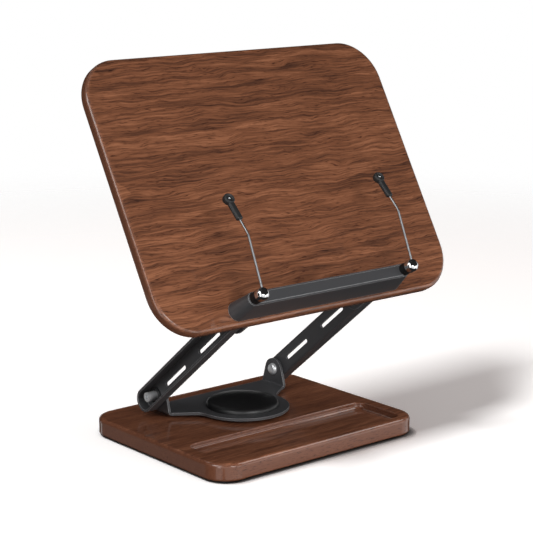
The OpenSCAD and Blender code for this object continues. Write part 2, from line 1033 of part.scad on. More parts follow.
module ledge() {
    front_low = ledge_top - ledge_front_h;
    color(charcoal)
        on_board()
            difference() {
                hull() {
                    ledge_slice(ledge_w, ledge_low, ledge_top, 0);
                    ledge_slice(ledge_front_w, front_low, ledge_top, ledge_depth - ledge_edge_r);
                    ledge_slice(
                        ledge_front_w - 2 * ledge_edge_r,
                        front_low + ledge_edge_r,
                        ledge_top - ledge_edge_r,
                        ledge_depth - slice
                    );
                }
                for (at = ledge_screws_at)
                    translate([at[0], at[1], -over])
                        cylinder(h = ledge_screw_length + over + fit, d = screw_d + 2 * fit);
                for (side = [-1, 1])
                    translate([side * clip_x, clip_up, 0])
                        clip_bore();
            }
}

// Rear chamber for the stem's flange, bore for its rod and groove for the friction ring
module clip_bore() {
    translate([0, 0, -over])
        cylinder(h = chamber_length + over, d = stem_flange_d + 2 * fit);
    cylinder(h = ledge_depth + over, d = stem_d + 2 * fit);
    translate([0, 0, ring_n - ring_section / 2])
        cylinder(h = ring_section, d = stem_d + 2 * ring_section);
}

module ledge_screws() {
    color(bright_steel)
        on_board()
            for (at = ledge_screws_at)
                translate([at[0], at[1], screw_head_h + air - board_t])
                    rotate([180, 0, 0])
                        wood_screw(board_t - screw_head_h - air + ledge_screw_length);
}

module clip_friction_rings() {
    color(rubber)
        for (side = [-1, 1])
            at_clip(side)
                translate([0, 0, ring_n - ring_section / 2 + fit])
                    ring(stem_d + 2 * ring_section - 2 * fit, stem_d + fit, ring_section - 2 * fit);
}

// Page clips

module clip_stem(side) {
    color(black_plastic)
        at_clip(side)
            difference() {
                union() {
                    translate([0, 0, clip_play])
                        cylinder(h = stem_flange_t, d = stem_flange_d);
                    translate([0, 0, clip_play])
                        cylinder(h = stem_head_n, d = stem_d);
                    translate([0, 0, stem_head_n])
                        cylinder(h = stem_head_length, d = stem_head_d);
                    translate([0, 0, stem_head_n + stem_head_length])
                        cylinder(h = clip_play + spigot_length, d = spigot_d);
                }
                for (i = [1 : stem_grooves])
                    translate([0, 0, stem_head_n + i * groove_pitch - groove_w / 2])
                        ring(stem_head_d + over, stem_head_d - 2 * groove_cut, groove_w);
                translate([0, 0, snap_ring_n - snap_ring_t / 2 - fit])
                    ring(spigot_d + over, spigot_d - 2 * snap_ring_step - 2 * fit, snap_ring_t + 2 * fit);
            }
}

module snap_ring(side) {
    color(bright_steel)
        at_clip(side)
            translate([0, 0, snap_ring_n - snap_ring_t / 2])
                ring(spigot_d + 2 * snap_ring_step, spigot_d - 2 * snap_ring_step, snap_ring_t);
}

module clip_knob(side) {
    ring_bore = spigot_d + 2 * snap_ring_step + 2 * fit;
    color(chrome)
        at_clip(side)
            difference() {
                translate([0, 0, knob_n])
                    rotate_extrude()
                        edge_profile(knob_d / 2, knob_h, knob_dome_r, knob_foot_r);
                translate([0, 0, knob_n - over])
                    cylinder(h = spigot_length + over + fit, d = spigot_d + 2 * fit);
                translate([0, 0, snap_ring_n - snap_ring_t / 2 - fit])
                    cylinder(h = snap_ring_t + 2 * fit, d = ring_bore);
                yz_bar(wire_d + 2 * fit, wire_points()[0], wire_points()[1]);
            }
}

// The wire's seat in the knob, its bend, and its end in the tip, up the board and out of it
function wire_points() =
    let (seat = [0, knob_n + wire_seat])
    let (bend = seat + [wire_run, wire_lean])
    let (tip = bend + [wire_tip_run, -wire_tip_lean])
    [seat, bend, tip];

module clip_wire(side) {
    points = wire_points();
    first = towards(points[0], points[1]);
    second = towards(points[1], points[2]);
    end_angle = atan2(second[1], second[0]);
    turn = atan2(first[1], first[0]) - end_angle;
    trim = wire_bend_r * tan(turn / 2);
    bend_start = points[1] - trim * first;
    middle = bend_start + wire_bend_r * [first[1], -first[0]];
    color(bright_steel)
        at_clip(side) {
            yz_bar(wire_d, points[0], bend_start + bend_lap * first);
            yz_bar(wire_d, points[1] + (trim - bend_lap) * second, points[2]);
            translate([0, middle[0], middle[1]])
                rotate([90, 0, 90])
                    rotate(end_angle + 90)
                        rotate_extrude(angle = turn)
                            translate([wire_bend_r, 0])
                                circle(d = wire_d - 2 * fit);
        }
}

module clip_tip(side) {
    points = wire_points();
    along = towards(points[1], points[2]);
    color(rubber)
        at_clip(side)
            difference() {
                translate([0, points[2][0], points[2][1]])
                    rotate([atan2(along[1], along[0]), 0, 0]) {
                        translate([0, 0, -tip_t / 2])
                            rotate_extrude()
                                edge_profile(tip_d / 2, tip_t, tip_t / 3, tip_t / 3);
                        rotate([90, 0, 0])
                            linear_extrude(tip_bar_length)
                                stadium(tip_bar_w, tip_bar_t);
                    }
                yz_bar(wire_d + 2 * fit, points[1], points[2] + fit * along);
            }
}

module left_clip_stem() {
    clip_stem(-1);
}

module left_snap_ring() {
    snap_ring(-1);
}

module left_clip_knob() {
    clip_knob(-1);
}

module left_clip_wire() {
    clip_wire(-1);
}

module left_clip_tip() {
    clip_tip(-1);
}

module right_clip_stem() {
    clip_stem(1);
}

module right_snap_ring() {
    snap_ring(1);
}

module right_clip_knob() {
    clip_knob(1);
}

module right_clip_wire() {
    clip_wire(1);
}

module right_clip_tip() {
    clip_tip(1);
}

base_board();
base_feet();
centre_pad();
swivel_bolt();
swivel_bolt_washer();
thrust_washer();
swivel_spring_washer();
swivel_lock_nut();
swivel_bracket();
swivel_bush();
dome_cap();
left_lower_bolt();
right_lower_bolt();
lower_pivot_nuts();
lower_pivot_washers();
left_arm();
right_arm();
lower_arm_bushes();
upper_arm_bushes();
reading_board();
board_bracket();
bracket_screws();
left_upper_bolt();
right_upper_bolt();
upper_pivot_nuts();
upper_pivot_washers();
ledge();
ledge_screws();
clip_friction_rings();
left_clip_stem();
left_snap_ring();
left_clip_knob();
left_clip_wire();
left_clip_tip();
right_clip_stem();
right_snap_ring();
right_clip_knob();
right_clip_wire();
right_clip_tip();
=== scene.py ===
"""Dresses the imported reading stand: lacquered walnut, powder-coated steel, chrome clips and studio light."""
from __future__ import annotations

import json
import logging
import math
from dataclasses import dataclass, field
from enum import StrEnum
from typing import Any

import bmesh
import bpy
from mathutils import Matrix, Vector

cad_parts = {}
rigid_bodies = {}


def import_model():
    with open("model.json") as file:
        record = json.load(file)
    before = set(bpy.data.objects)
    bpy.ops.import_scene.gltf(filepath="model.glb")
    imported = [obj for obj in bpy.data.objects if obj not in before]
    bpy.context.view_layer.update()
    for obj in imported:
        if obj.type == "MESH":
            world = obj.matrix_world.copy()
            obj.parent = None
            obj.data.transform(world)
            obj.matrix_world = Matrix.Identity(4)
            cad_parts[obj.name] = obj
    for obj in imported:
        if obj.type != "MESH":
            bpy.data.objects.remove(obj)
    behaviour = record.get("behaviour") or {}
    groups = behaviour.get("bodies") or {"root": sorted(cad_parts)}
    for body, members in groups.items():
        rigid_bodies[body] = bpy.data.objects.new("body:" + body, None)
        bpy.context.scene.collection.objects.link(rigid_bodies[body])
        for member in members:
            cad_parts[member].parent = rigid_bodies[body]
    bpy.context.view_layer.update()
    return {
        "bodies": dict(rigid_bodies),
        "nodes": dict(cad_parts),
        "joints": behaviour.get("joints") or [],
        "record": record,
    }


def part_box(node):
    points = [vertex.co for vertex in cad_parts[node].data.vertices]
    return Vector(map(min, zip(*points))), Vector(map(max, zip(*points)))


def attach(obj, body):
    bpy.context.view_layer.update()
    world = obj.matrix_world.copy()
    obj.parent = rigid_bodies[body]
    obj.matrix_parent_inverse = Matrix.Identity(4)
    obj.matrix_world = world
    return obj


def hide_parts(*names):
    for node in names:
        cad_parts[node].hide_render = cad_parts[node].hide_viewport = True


log = logging.getLogger("reading_stand")

MM = 0.001
WELD = 0.001 * MM
# Radians in one unit of Blender's wave texture at a scale of 1.
WAVE_RATE = 20
# Sockets of a Mix node that mixes colours.
FACTOR, FIRST, SECOND, MIXED = 0, 6, 7, 2
Colour = tuple[float, float, float, float]
Tree = bpy.types.NodeTree
Socket = bpy.types.NodeSocket
Material = bpy.types.Material
Object = bpy.types.Object
Shape = bmesh.types.BMesh


class Side(StrEnum):
    """The reader's side that a page clip is on."""

    LEFT = "left"
    RIGHT = "right"


class Reach(StrEnum):
    """How a lamp reads its list of objects, in Blender's own words."""

    ONLY_THESE = "INCLUDE"
    ALL_BUT_THESE = "EXCLUDE"


def linear(hex_colour: str) -> Colour:
    """Turns an sRGB hex colour into linear light.

    Args:
        hex_colour: six hex digits after a hash sign.

    Returns:
        The colour as linear red, green and blue with full alpha.
    """
    parts = [int(hex_colour[i:i + 2], 16) / 255 for i in (1, 3, 5)]
    light = [c / 12.92 if c <= 0.04045 else ((c + 0.055) / 1.055) ** 2.4 for c in parts]
    return (light[0], light[1], light[2], 1.0)


def heading(azimuth: float, elevation: float) -> Vector:
    """Gives the direction from the stand at an azimuth and an elevation.

    Args:
        azimuth: degrees round from the front, to the right.
        elevation: degrees above level.

    Returns:
        The direction as a unit vector.
    """
    side, rise = math.radians(azimuth), math.radians(elevation)
    return Vector((math.sin(side) * math.cos(rise), -math.cos(side) * math.cos(rise), math.sin(rise)))


def add_node(
    tree: Tree,
    kind: str,
    settings: dict[str, Any] | None = None,
    inputs: dict[str | int, Any] | None = None,
) -> bpy.types.Node:
    """Adds a node, with its settings and its inputs.

    Args:
        tree: the node tree to add to.
        kind: Blender's name for the node type.
        settings: properties of the node.
        inputs: values or sockets to link, by the input's name or number.

    Returns:
        The new node.
    """
    node = tree.nodes.new(kind)
    for name, value in (settings or {}).items():
        setattr(node, name, value)
    for key, value in (inputs or {}).items():
        if isinstance(value, Socket):
            tree.links.new(value, node.inputs[key])
        else:
            node.inputs[key].default_value = value
    return node


def new_material(name: str) -> tuple[Material, Tree]:
    """Starts an empty node material.

    Args:
        name: the material's name.

    Returns:
        The material and its cleared node tree.
    """
    material = bpy.data.materials.new(name)
    material.use_nodes = True
    material.node_tree.nodes.clear()
    return material, material.node_tree


def new_object(name: str, data: bpy.types.ID) -> Object:
    """Puts a new object into the scene.

    Args:
        name: the object's name.
        data: its mesh, lamp or camera.

    Returns:
        The object.
    """
    obj = bpy.data.objects.new(name, data)
    bpy.context.scene.collection.objects.link(obj)
    return obj


@dataclass(frozen=True)
class GrainNoise:
    """One layer of the wood's figure, a noise drawn out along the grain.

    Its size along and across the grain and its shift across it are in metres; detail is its octaves.
    """

    along: float
    across: float
    shift: float
    detail: float

    def value(self, tree: Tree, grain: Socket) -> Socket:
        """Adds the layer to a material.

        Args:
            tree: the material's node tree.
            grain: coordinates along the panel.

        Returns:
            The noise's value, from 0 to 1.
        """
        scaled = add_node(tree, "ShaderNodeMapping", {"vector_type": "TEXTURE"}, {
            "Vector": grain,
            "Location": (0.0, self.shift, self.shift),
            "Scale": (self.along, self.across, self.across),
        })
        return add_node(tree, "ShaderNodeTexNoise", {"noise_dimensions": "3D"}, {
            "Vector": scaled.outputs[0],
            "Scale": 1.0,
            "Detail": self.detail,
        }).outputs["Fac"]


@dataclass(frozen=True)
class LacqueredWalnut:
    """Flat-sawn walnut under a gloss lacquer.

    The growth rings and the wandering grain give wavy dark lines, the vessels give short dark dashes along
    them, and the lacquer gives a deep colour with a crisp line of light on every rounded edge.
    """

    name: str
    centre: Vector
    tilt: float
    dark: str = "#3d2318"
    middle: str = "#74472f"
    light: str = "#9b6547"
    end_grain: str = "#68402d"
    # Painted shade: a slope in tone across the grain, per metre.
    vessel_tint: str = "#867064"
    shade_slope: float = 0.0
    wander: float = 6 * MM
    sway: GrainNoise = GrainNoise(48 * MM, 15 * MM, 0.0, 2.0)
    streaks: GrainNoise = GrainNoise(42 * MM, 1.4 * MM, 11 * MM, 5.0)
    figure: GrainNoise = GrainNoise(70 * MM, 8 * MM, 51 * MM, 4.0)
    clouds: GrainNoise = GrainNoise(160 * MM, 38 * MM, 37 * MM, 3.0)
    # Walnut's vessels are some 0.2 mm wide, too fine to show, so they are drawn wider.
    vessels: GrainNoise = GrainNoise(9 * MM, 0.55 * MM, 23 * MM, 2.0)
    vessel_limits: tuple[float, float] = (0.56, 0.72)
    vessel_depth: float = 0.02 * MM
    vessel_bump: float = 0.35
    heart_offset: float = 70 * MM
    heart_aside: float = 0.35
    heart_askew: tuple[float, float] = (8, 21)
    ring_spacing: float = 9 * MM
    ring_stretch: float = 7.0
    ring_wobble: float = 5.0
    wobble_detail: float = 3.0
    wobble_scale: float = 0.35
    wobble_roughness: float = 0.6
    ring_weight: float = 0.16
    streak_weight: float = 1.2
    figure_weight: float = 0.6
    cloud_weight: float = 0.25
    tone_spread: float = 0.76
    edge_cosines: tuple[float, float] = (0.9, 0.4)
    edge_cover: float = 0.85
    wood_roughness: float = 0.46
    wood_specular: float = 0.2
    lacquer_weight: float = 0.9
    lacquer_roughness: float = 0.08
    lacquer_ior: float = 1.5

    def grain(self, tree: Tree) -> Socket:
        """Gives coordinates that lie along the panel, with the grain wandering across it.

        Args:
            tree: the material's node tree.

        Returns:
            The coordinates' socket, in metres from the panel's middle.
        """
        place = add_node(tree, "ShaderNodeTexCoord")
        flat = add_node(tree, "ShaderNodeMapping", {"vector_type": "TEXTURE"}, {
            "Vector": place.outputs["Object"],
            "Location": self.centre,
            "Rotation": (self.tilt, 0.0, 0.0),
        })
        shift = add_node(tree, "ShaderNodeMapRange", None, {
            "Value": self.sway.value(tree, flat.outputs[0]), "To Min": -self.wander, "To Max": self.wander,
        })
        aside = add_node(tree, "ShaderNodeCombineXYZ", None, {"Y": shift.outputs[0]})
        return add_node(tree, "ShaderNodeVectorMath", {"operation": "ADD"}, {
            0: flat.outputs[0], 1: aside.outputs[0],
        }).outputs[0]

    def rings(self, tree: Tree, grain: Socket) -> Socket:
        """Adds growth rings about a heart that runs askew below the panel.

        Args:
            tree: the material's node tree.
            grain: coordinates along the panel.

        Returns:
            The rings' value, from 0 to 1.
        """
        drawn_out = add_node(tree, "ShaderNodeMapping", {"vector_type": "TEXTURE"}, {
            "Vector": grain, "Scale": (self.ring_stretch, 1.0, 1.0),
        })
        pitch, yaw = self.heart_askew
        heart = add_node(tree, "ShaderNodeMapping", {"vector_type": "TEXTURE"}, {
            "Vector": drawn_out.outputs[0],
            "Location": (0.0, self.heart_aside * self.heart_offset, -self.heart_offset),
            "Rotation": (0.0, math.radians(pitch), math.radians(yaw)),
        })
        return add_node(tree, "ShaderNodeTexWave", {
            "wave_type": "RINGS", "rings_direction": "X", "wave_profile": "SAW",
        }, {
            "Vector": heart.outputs[0],
            "Scale": math.tau / (WAVE_RATE * self.ring_spacing),
            "Distortion": self.ring_wobble,
            "Detail": self.wobble_detail,
            "Detail Scale": self.wobble_scale,
            "Detail Roughness": self.wobble_roughness,
        }).outputs["Fac"]

    def tone(self, tree: Tree, grain: Socket) -> Socket:
        """Sums the grain's layers and turns them into a colour.

        Args:
            tree: the material's node tree.
            grain: coordinates along the panel.

        Returns:
            The colour of the long grain.
        """
        across = add_node(tree, "ShaderNodeSeparateXYZ", None, {0: grain}).outputs["Y"]
        layers = (
            (self.rings(tree, grain), self.ring_weight),
            (self.streaks.value(tree, grain), self.streak_weight),
            (self.figure.value(tree, grain), self.figure_weight),
            (self.clouds.value(tree, grain), self.cloud_weight),
        )
        # Painted shade: the tone slopes across the grain by the shade slope.
        total = add_node(tree, "ShaderNodeMath", {"operation": "MULTIPLY"}, {
            0: across, 1: self.shade_slope,
        }).outputs[0]
        for layer, weight in layers:
            total = add_node(tree, "ShaderNodeMath", {"operation": "MULTIPLY_ADD"}, {
                0: layer, 1: weight, 2: total,
            }).outputs[0]
        mean = sum(weight for layer, weight in layers) / 2
        half = self.tone_spread / 2
        spread = add_node(tree, "ShaderNodeMapRange", None, {
            "Value": total, "From Min": mean - half, "From Max": mean + half,
        })
        shades = add_node(tree, "ShaderNodeValToRGB", inputs={"Fac": spread.outputs[0]})
        ramp = shades.color_ramp
        ramp.elements[0].color = linear(self.dark)
        ramp.elements[1].color = linear(self.light)
        ramp.elements.new(0.5).color = linear(self.middle)
        return shades.outputs[0]

    def edge(self, tree: Tree) -> Socket:
        """Finds the panel's edges and cut walls, where sanding and stain leave hardly any figure.

        Args:
            tree: the material's node tree.

        Returns:
            0 on the panel's faces, and nearly 1 on its edges.
        """
        across = Vector((0.0, -math.sin(self.tilt), math.cos(self.tilt)))
        turned = add_node(tree, "ShaderNodeVectorMath", {"operation": "DOT_PRODUCT"}, {
            0: add_node(tree, "ShaderNodeTexCoord").outputs["Normal"], 1: across,
        })
        flat = add_node(tree, "ShaderNodeMath", {"operation": "ABSOLUTE"}, {0: turned.outputs["Value"]})
        face, wall = self.edge_cosines
        return add_node(tree, "ShaderNodeMapRange", {"interpolation_type": "SMOOTHSTEP"}, {
            "Value": flat.outputs[0], "From Min": face, "From Max": wall, "To Max": self.edge_cover,
        }).outputs[0]

    def material(self) -> Material:
        """Builds the material.

        Returns:
            The lacquered wood.
        """
        material, tree = new_material(self.name)
        grain = self.grain(tree)
        sawn = add_node(tree, "ShaderNodeMix", {"data_type": "RGBA"}, {
            FACTOR: self.edge(tree), FIRST: self.tone(tree, grain), SECOND: linear(self.end_grain),
        })
        closed, pierced = self.vessel_limits
        pores = add_node(tree, "ShaderNodeMapRange", None, {
            "Value": self.vessels.value(tree, grain), "From Min": closed, "From Max": pierced,
        }).outputs[0]
        stained = add_node(tree, "ShaderNodeMix", {"data_type": "RGBA", "blend_type": "MULTIPLY"}, {
            FACTOR: pores, FIRST: sawn.outputs[MIXED], SECOND: linear(self.vessel_tint),
        })
        bump = add_node(tree, "ShaderNodeBump", {"invert": True}, {
            "Strength": self.vessel_bump, "Distance": self.vessel_depth, "Height": pores,
        })
        shader = add_node(tree, "ShaderNodeBsdfPrincipled", None, {
            "Base Color": stained.outputs[MIXED],
            "Roughness": self.wood_roughness,
            "Normal": bump.outputs[0],
            "Specular IOR Level": self.wood_specular,
            "Coat Weight": self.lacquer_weight,
            "Coat Roughness": self.lacquer_roughness,
            "Coat IOR": self.lacquer_ior,
        })
        add_node(tree, "ShaderNodeOutputMaterial", None, {"Surface": shader.outputs[0]})
        return material


@dataclass(frozen=True)
class PowderCoat:
    """Satin powder coat on pressed steel.

    The melted powder leaves a faint orange-peel texture, and a pale line is painted along sharp edges as a
    highlight.
    """

    name: str
    colour: str
    edge_highlight_colour: str
    roughness: float
    edge_width: float = 0.6 * MM
    edge_samples: int = 6
    edge_cosines: tuple[float, float] = (0.985, 0.86)
    edge_highlight: float = 0.9
    # Fine orange peel is too small to show, so it is drawn coarser.
    peel: float = 0.9 * MM
    peel_detail: float = 2.0
    peel_depth: float = 0.05 * MM
    peel_bump: float = 0.12
    gloss_swing: tuple[float, float] = (-0.05, 0.07)
    ior: float = 1.5

    def material(self) -> Material:
        """Builds the material.

        Returns:
            The painted metal.
        """
        material, tree = new_material(self.name)
        place = add_node(tree, "ShaderNodeTexCoord").outputs["Object"]
        peel = add_node(tree, "ShaderNodeTexNoise", None, {
            "Vector": place, "Scale": 1 / self.peel, "Detail": self.peel_detail,
        }).outputs["Fac"]
        softened = add_node(tree, "ShaderNodeBevel", {"samples": self.edge_samples}, {
            "Radius": self.edge_width,
        }).outputs[0]
        face = add_node(tree, "ShaderNodeNewGeometry").outputs["Normal"]
        turn = add_node(tree, "ShaderNodeVectorMath", {"operation": "DOT_PRODUCT"}, {0: softened, 1: face})
        # The pale edge colour is a painted highlight, mixed in where the softened normal turns away from the
        # face.
        whole, highlit = self.edge_cosines
        edge = add_node(tree, "ShaderNodeMapRange", None, {
            "Value": turn.outputs["Value"], "From Min": whole, "From Max": highlit, "To Max": self.edge_highlight,
        })
        colour = add_node(tree, "ShaderNodeMix", {"data_type": "RGBA"}, {
            FACTOR: edge.outputs[0], FIRST: linear(self.colour), SECOND: linear(self.edge_highlight_colour),
        })
        smooth, dull = self.gloss_swing
        rough = add_node(tree, "ShaderNodeMapRange", None, {
            "Value": peel, "To Min": self.roughness + smooth, "To Max": self.roughness + dull,
        })
        bump = add_node(tree, "ShaderNodeBump", None, {
            "Strength": self.peel_bump, "Distance": self.peel_depth, "Height": peel, "Normal": softened,
        })
        shader = add_node(tree, "ShaderNodeBsdfPrincipled", None, {
            "Base Color": colour.outputs[MIXED],
            "Roughness": rough.outputs[0],
            "Normal": bump.outputs[0],
            "IOR": self.ior,
        })
        add_node(tree, "ShaderNodeOutputMaterial", None, {"Surface": shader.outputs[0]})
        return material


@dataclass(frozen=True)
class Moulded:
    """Black plastic, nylon or rubber as it leaves the mould, with the mould's fine spark texture."""

    name: str
    colour: str
    roughness: float
    # A mould's spark texture is too fine to show, so it is drawn coarser.
    spark: float = 0.6 * MM
    depth: float = 0.03 * MM
    spark_detail: float = 3.0
    spark_shade: float = 0.8
    spark_bump: float = 0.15
    gloss_swing: tuple[float, float] = (-0.04, 0.06)
    ior: float = 1.5

    def material(self) -> Material:
        """Builds the material.

        Returns:
            The moulded plastic or rubber.
        """
        material, tree = new_material(self.name)
        place = add_node(tree, "ShaderNodeTexCoord").outputs["Object"]
        spark = add_node(tree, "ShaderNodeTexNoise", None, {
            "Vector": place, "Scale": 1 / self.spark, "Detail": self.spark_detail,
        }).outputs["Fac"]
        deep = tuple(self.spark_shade * c for c in linear(self.colour)[:3]) + (1.0,)
        colour = add_node(tree, "ShaderNodeMix", {"data_type": "RGBA"}, {
            FACTOR: spark, FIRST: deep, SECOND: linear(self.colour),
        })
        smooth, dull = self.gloss_swing
        rough = add_node(tree, "ShaderNodeMapRange", None, {
            "Value": spark, "To Min": self.roughness + smooth, "To Max": self.roughness + dull,
        })
        bump = add_node(tree, "ShaderNodeBump", None, {
            "Strength": self.spark_bump, "Distance": self.depth, "Height": spark,
        })
        shader = add_node(tree, "ShaderNodeBsdfPrincipled", None, {
            "Base Color": colour.outputs[MIXED],
            "Roughness": rough.outputs[0],
            "Normal": bump.outputs[0],
            "IOR": self.ior,
        })
        add_node(tree, "ShaderNodeOutputMaterial", None, {"Surface": shader.outputs[0]})
        return material


@dataclass(frozen=True)
class BareMetal:
    """Plated, drawn or polished steel: bright, with faint handling marks in its gloss."""

    name: str
    colour: str
    roughness: float
    spread: float = 0.05
    metallic: float = 1.0
    marks: float = 1.4 * MM
    marks_detail: float = 4.0
    marks_swirl: float = 0.6

    def material(self) -> Material:
        """Builds the material.

        Returns:
            The bright metal.
        """
        material, tree = new_material(self.name)
        place = add_node(tree, "ShaderNodeTexCoord").outputs["Object"]
        marks = add_node(tree, "ShaderNodeTexNoise", None, {
            "Vector": place, "Scale": 1 / self.marks, "Detail": self.marks_detail,
            "Distortion": self.marks_swirl,
        }).outputs["Fac"]
        rough = add_node(tree, "ShaderNodeMapRange", None, {
            "Value": marks, "To Min": self.roughness, "To Max": self.roughness + self.spread,
        })
        shader = add_node(tree, "ShaderNodeBsdfPrincipled", None, {
            "Base Color": linear(self.colour),
            "Metallic": self.metallic,
            "Roughness": rough.outputs[0],
        })
        add_node(tree, "ShaderNodeOutputMaterial", None, {"Surface": shader.outputs[0]})
        return material


def lathe(profile: list[tuple[float, float]], facets: int = 48) -> Shape:
    """Turns a profile about the Z axis.

    Args:
        profile: radius and height of each point, from the foot to the top.
        facets: facets round the axis.

    Returns:
        The turned shape.
    """
    shape = bmesh.new()
    points = [shape.verts.new((radius, 0.0, height)) for radius, height in profile]
    for low, high in zip(points, points[1:]):
        shape.edges.new((low, high))
    bmesh.ops.spin(shape, geom=shape.verts[:] + shape.edges[:], cent=(0, 0, 0), axis=(0, 0, 1),
                   angle=math.tau, steps=facets, use_merge=True)
    bmesh.ops.remove_doubles(shape, verts=shape.verts, dist=WELD)
    bmesh.ops.recalc_face_normals(shape, faces=shape.faces)
    return shape


def rounded_bar(
    width: float, length: float, thickness: float, rounding: float = 0.42, facets: int = 6,
) -> Shape:
    """Makes a bar with rounded edges that ends at the origin and runs down the Y axis.

    Args:
        width: its size along X.
        length: its size along Y.
        thickness: its size along Z.
        rounding: the edges' radius, as a share of the thickness.
        facets: facets across each rounded edge.

    Returns:
        The bar.
    """
    shape = bmesh.new()
    bmesh.ops.create_cube(shape, size=1.0)
    bmesh.ops.scale(shape, vec=(width, length, thickness), verts=shape.verts)
    bmesh.ops.translate(shape, vec=(0.0, -length / 2, 0.0), verts=shape.verts)
    bmesh.ops.bevel(shape, geom=shape.edges[:], offset=rounding * thickness, segments=facets,
                    profile=0.5, affect="EDGES")
    return shape


def show(
    name: str, shapes: list[Shape], material: Material, place: Matrix,
) -> Object:
    """Joins shapes into one smooth object.

    Args:
        name: the object's name.
        shapes: the shapes, which are freed.
        material: what it is made of.
        place: where the shapes' own origin goes.

    Returns:
        The object.
    """
    whole = bmesh.new()
    for shape in shapes:
        part = bpy.data.meshes.new(name)
        shape.to_mesh(part)
        shape.free()
        whole.from_mesh(part)
        bpy.data.meshes.remove(part)
    bmesh.ops.transform(whole, matrix=place, verts=whole.verts)
    mesh = bpy.data.meshes.new(name)
    for face in whole.faces:
        face.smooth = True
    whole.to_mesh(mesh)
    whole.free()
    mesh.materials.append(material)
    return new_object(name, mesh)


def new_tree(name: str, sockets: dict[str, str]) -> tuple[Tree, dict[str, Socket]]:
    """Starts a Geometry Nodes tree.

    Args:
        name: the tree's name.
        sockets: the type of each named input.

    Returns:
        The tree and the sockets of its inputs, by name.
    """
    tree = bpy.data.node_groups.new(name, "GeometryNodeTree")
    tree.interface.new_socket("Geometry", in_out="OUTPUT", socket_type="NodeSocketGeometry")
    for label, kind in sockets.items():
        tree.interface.new_socket(label, in_out="INPUT", socket_type=f"NodeSocket{kind}")
    given = add_node(tree, "NodeGroupInput").outputs
    return tree, {label: given[label] for label in sockets}


def end_tree(
    tree: Tree, instances: Socket, material: Socket,
) -> None:
    """Ends a Geometry Nodes tree with real meshes of one material.

    Args:
        tree: the tree to end.
        instances: the geometry to realize.
        material: the material's socket.
    """
    real = add_node(tree, "GeometryNodeRealizeInstances", None, {"Geometry": instances})
    dressed = add_node(tree, "GeometryNodeSetMaterial", None, {
        "Geometry": real.outputs[0], "Material": material,
    })
    add_node(tree, "NodeGroupOutput", None, {"Geometry": dressed.outputs[0]})


def grow(name: str, tree: Tree, values: dict[str, Any]) -> Object:
    """Runs a Geometry Nodes tree once and keeps its result as a plain mesh.

    Args:
        name: the object's name.
        tree: the tree to run.
        values: the value of each named input.

    Returns:
        The object with the finished mesh.
    """
    obj = new_object(name, bpy.data.meshes.new(name))
    modifier = obj.modifiers.new("grow", "NODES")
    modifier.node_group = tree
    for item in tree.interface.items_tree:
        if item.in_out == "INPUT":
            modifier[item.identifier] = values[item.name]
    bpy.context.view_layer.update()
    evaluated = obj.evaluated_get(bpy.context.evaluated_depsgraph_get())
    mesh = bpy.data.meshes.new_from_object(evaluated)
    obj.modifiers.remove(modifier)
    obj.data = mesh
    return obj


@dataclass
class SoftBox:
    """One rectangular studio lamp that faces the stand."""

    name: str
    azimuth: float
    elevation: float
    distance: float
    width: float
    height: float
    power: float
    colour: str = "#ffffff"
    glossy: bool = True

    def light(self, target: Vector) -> Object:
        """Hangs the lamp.

        Args:
            target: the point that the lamp faces.

        Returns:
            The lamp's object.
        """
        lamp = bpy.data.lights.new(self.name, "AREA")
        lamp.shape = "RECTANGLE"
        lamp.size = self.width
        lamp.size_y = self.height
        lamp.energy = self.power
        lamp.color = linear(self.colour)[:3]
        away = heading(self.azimuth, self.elevation)
        obj = new_object(self.name, lamp)
        obj.location = target + away * self.distance
        obj.rotation_euler = away.to_track_quat("Z", "Y").to_euler()
        obj.visible_glossy = self.glossy
        return obj


@dataclass
class Card:
    """One card that only reflections see: black to keep a colour deep, or bright to draw a line of light."""

    name: str
    azimuth: float
    elevation: float
    width: float
    height: float
    strength: float = 0.02
    distance: float = 1.8
    aim: tuple[float, float, float] | None = None

    def hang(self, target: Vector) -> None:
        """Hangs the card.

        Args:
            target: the point that the card faces, unless it has its own aim.
        """
        material, tree = new_material(f"{self.name}_cloth")
        cloth = add_node(tree, "ShaderNodeEmission", None, {"Strength": self.strength})
        add_node(tree, "ShaderNodeOutputMaterial", None, {"Surface": cloth.outputs[0]})
        mesh = bpy.data.meshes.new(self.name)
        card = bmesh.new()
        bmesh.ops.create_grid(card, x_segments=1, y_segments=1, size=0.5)
        bmesh.ops.scale(card, vec=(self.width, self.height, 1.0), verts=card.verts)
        card.to_mesh(mesh)
        card.free()
        mesh.materials.append(material)
        away = heading(self.azimuth, self.elevation)
        obj = new_object(self.name, mesh)
        obj.location = Vector(self.aim or target) + away * self.distance
        obj.rotation_euler = away.to_track_quat("Z", "Y").to_euler()
        for sight in ("camera", "diffuse", "transmission", "volume_scatter", "shadow"):
            setattr(obj, f"visible_{sight}", False)


